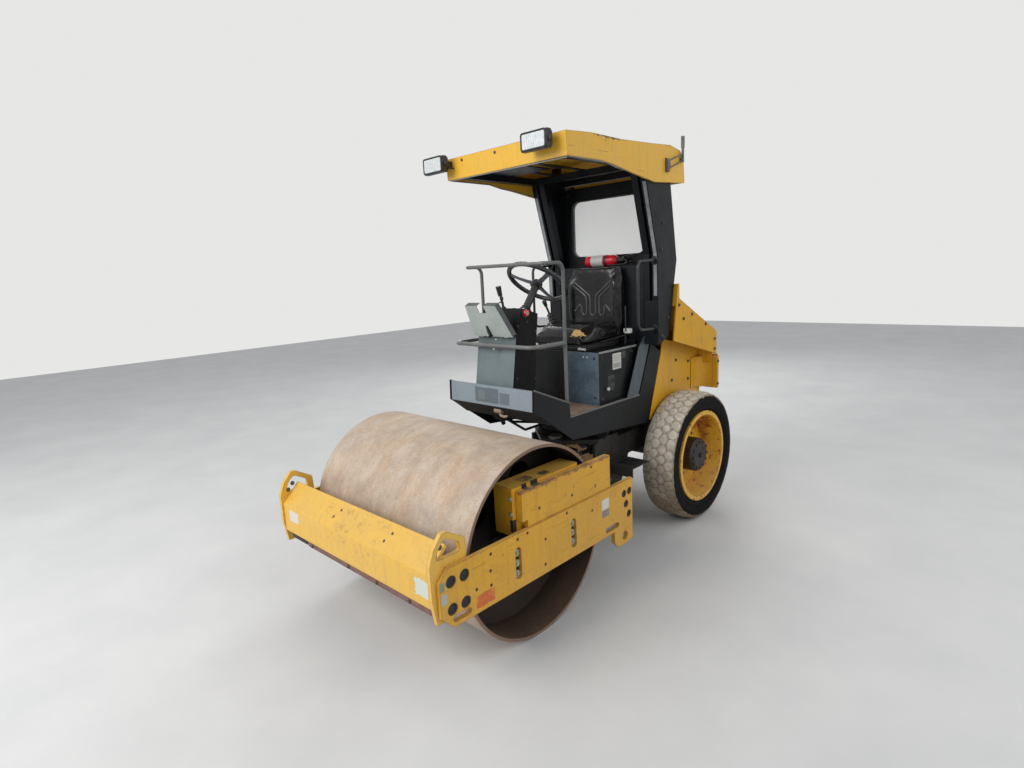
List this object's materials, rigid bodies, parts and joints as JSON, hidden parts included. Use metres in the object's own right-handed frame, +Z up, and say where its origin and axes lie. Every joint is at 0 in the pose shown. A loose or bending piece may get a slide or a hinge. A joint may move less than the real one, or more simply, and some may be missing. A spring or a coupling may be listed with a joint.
{
  "type": "articulated single-drum road roller",
  "caption": "Small articulated soil and asphalt roller with a smooth steel drum in front, driven wheels behind, open platform, roll-over frame and canopy.",
  "frame": {"origin": "on the ground below the articulation, at the centre of the machine's length and width", "axes": "+X to the machine's left, +Y to the rear, +Z up; the drum is towards -Y"},
  "size_m": [1.296, 2.998, 2.44],
  "materials": {
    "yellow_paint": "worn semi-gloss paint with chips and rust",
    "dark_grey_paint": "worn satin anthracite paint",
    "light_grey_paint": "worn satin light grey paint",
    "red_paint": "gloss paint",
    "rusty_steel": "rolled steel with a dry rust film",
    "cast_metal": "rough casting with grease",
    "bare_steel": "turned steel",
    "tyre": "worn tyre with dry mud",
    "rubber": "moulded rubber",
    "seat_vinyl": "worn smooth vinyl",
    "plastic_black": "moulded",
    "glass": "clear toughened glass"
  },
  "bodies": {
    "chassis": {"chassis": "dark_grey_paint", "pivot_pin": "bare_steel", "rear_axle": "dark_grey_paint", "counterweight": "yellow_paint", "steps": "dark_grey_paint", "engine_block": "dark_grey_paint", "floor_plate": "dark_grey_paint", "apron": "light_grey_paint", "bulkhead": "dark_grey_paint", "side_panels": "dark_grey_paint", "seat_box": "dark_grey_paint", "seat_base": "seat_vinyl", "seat_back": "seat_vinyl", "tank_box": "dark_grey_paint", "extinguisher": "red_paint", "console": "dark_grey_paint", "steering_column": "plastic_black", "travel_lever": "plastic_black", "handrail_upper": "dark_grey_paint", "handrail_lower": "light_grey_paint", "grab_handles": "dark_grey_paint", "side_lever": "rubber", "hydraulic_hoses": "rubber", "posts": "dark_grey_paint", "rear_panel": "dark_grey_paint", "window_glass": "glass", "canopy": "yellow_paint", "roof_frame": "dark_grey_paint", "work_lamps": "plastic_black", "beacon_spigot": "bare_steel", "body_sides": "yellow_paint", "rear_body": "yellow_paint"},
    "link": {"articulation_link": "cast_metal"},
    "front_frame": {"side_plates": "yellow_paint", "end_plates": "yellow_paint", "front_beam": "yellow_paint", "scrapers": "rusty_steel", "rear_beam": "yellow_paint", "side_boxes": "yellow_paint", "drum_carriers": "dark_grey_paint", "rubber_buffers": "rubber"},
    "drum": {"drum": "rusty_steel"},
    "wheel_left": {"tyre_left": "tyre", "rim_left": "yellow_paint", "hub_left": "cast_metal"},
    "wheel_right": {"tyre_right": "tyre", "rim_right": "yellow_paint", "hub_right": "cast_metal"},
    "hood": {"hood": "yellow_paint"},
    "lid": {"instrument_lid": "light_grey_paint"},
    "steering_wheel": {"steering_wheel": "plastic_black"},
    "cylinder_barrel": {"cylinder_barrel": "dark_grey_paint"},
    "cylinder_rod": {"cylinder_rod": "bare_steel"}
  },
  "joints": [
    {"name": "steer", "type": "hinge", "parent": "chassis", "child": "link", "pos_m": [0, 0, 0.46], "axis": [0, 0, 1], "range_deg": [-35, 35]},
    {"name": "oscillation", "type": "hinge", "parent": "link", "child": "front_frame", "pos_m": [0, -0.2, 0.462], "axis": [0, 1, 0], "range_deg": [-8, 8]},
    {"name": "drum_spin", "type": "hinge", "parent": "front_frame", "child": "drum", "pos_m": [0, -0.845, 0.457], "axis": [1, 0, 0], "continuous": true},
    {"name": "wheel_left_spin", "type": "hinge", "parent": "chassis", "child": "wheel_left", "pos_m": [0.457, 0.845, 0.425], "axis": [1, 0, 0], "continuous": true},
    {"name": "wheel_right_spin", "type": "hinge", "parent": "chassis", "child": "wheel_right", "pos_m": [-0.457, 0.845, 0.425], "axis": [1, 0, 0], "continuous": true},
    {"name": "hood_hinge", "type": "hinge", "parent": "chassis", "child": "hood", "pos_m": [0, 1.233, 1.064], "axis": [-1, 0, 0], "range_deg": [0, 60]},
    {"name": "lid_hinge", "type": "hinge", "parent": "chassis", "child": "lid", "pos_m": [0, -0.478, 1.352], "axis": [-1, 0, 0], "range_deg": [0, 45]},
    {"name": "steering_wheel_turn", "type": "hinge", "parent": "chassis", "child": "steering_wheel", "pos_m": [0, -0.11, 1.62], "axis": [0, 0.6018, 0.7986], "continuous": true},
    {"name": "cylinder_swing", "type": "hinge", "parent": "chassis", "child": "cylinder_barrel", "pos_m": [0.152, 0.44, 0.56], "axis": [0, 0, 1], "range_deg": [-6, 6]},
    {"name": "cylinder_extend", "type": "slide", "parent": "cylinder_barrel", "child": "cylinder_rod", "axis": [-0.0523, -0.9986, 0], "range_m": [-0.09, 0.09]}
  ],
  "couplings": [
    {"joint": "cylinder_swing", "follows": "steer", "ratio": -0.0719},
    {"joint": "cylinder_extend", "follows": "steer", "m_per_rad": -0.123}
  ]
}
